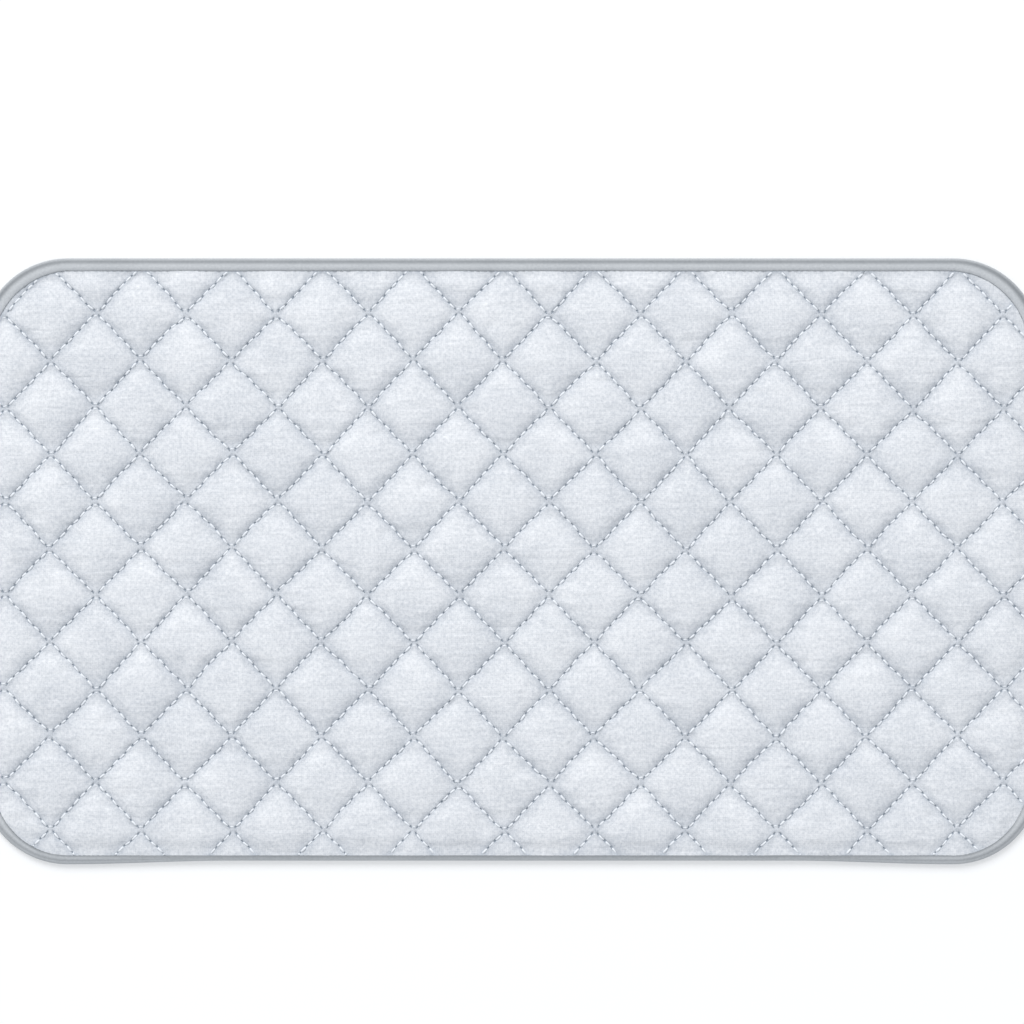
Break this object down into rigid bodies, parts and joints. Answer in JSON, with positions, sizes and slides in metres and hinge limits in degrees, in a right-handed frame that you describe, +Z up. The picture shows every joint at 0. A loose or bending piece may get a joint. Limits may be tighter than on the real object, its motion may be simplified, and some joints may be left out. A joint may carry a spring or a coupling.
{
  "type": "ironing pad",
  "caption": "Flat rounded-rectangle ironing pad: woven cover, batting, felt and backing sewn through in zigzag rows that leave quilted diamonds, with a folded tape binding round the edge.",
  "frame": {"origin": "on the table under the middle of the pad, at the level of the underside", "axes": "+X along the long side to the right, +Y to the rear long side (the top of the picture), +Z up out of the ironing face"},
  "size_m": [0.838, 0.479, 0.01],
  "materials": {
    "cover": "matte woven cloth with a faint silvery coating",
    "backing": "matte plain-woven cloth",
    "batting": "loose fibre wadding",
    "felt": "dense needled felt",
    "thread": "twisted sewing thread with a slight sheen",
    "tape": "close-woven bias tape"
  },
  "bodies": {
    "root": {"top_cover": "cover", "loft_batting": "batting", "insulating_felt": "felt", "backing": "backing", "binding_tape": "tape", "binding_needle_thread": "thread", "binding_bobbin_thread": "thread", "needle_thread_row_01": "thread", "needle_thread_row_02": "thread", "needle_thread_row_03": "thread", "needle_thread_row_04": "thread", "needle_thread_row_05": "thread", "needle_thread_row_06": "thread", "needle_thread_row_07": "thread", "needle_thread_row_08": "thread", "needle_thread_row_09": "thread", "needle_thread_row_10": "thread", "needle_thread_row_11": "thread", "needle_thread_row_12": "thread", "needle_thread_row_13": "thread", "bobbin_thread_row_01": "thread", "bobbin_thread_row_02": "thread", "bobbin_thread_row_03": "thread", "bobbin_thread_row_04": "thread", "bobbin_thread_row_05": "thread", "bobbin_thread_row_06": "thread", "bobbin_thread_row_07": "thread", "bobbin_thread_row_08": "thread", "bobbin_thread_row_09": "thread", "bobbin_thread_row_10": "thread", "bobbin_thread_row_11": "thread", "bobbin_thread_row_12": "thread", "bobbin_thread_row_13": "thread"}
  },
  "joints": []
}
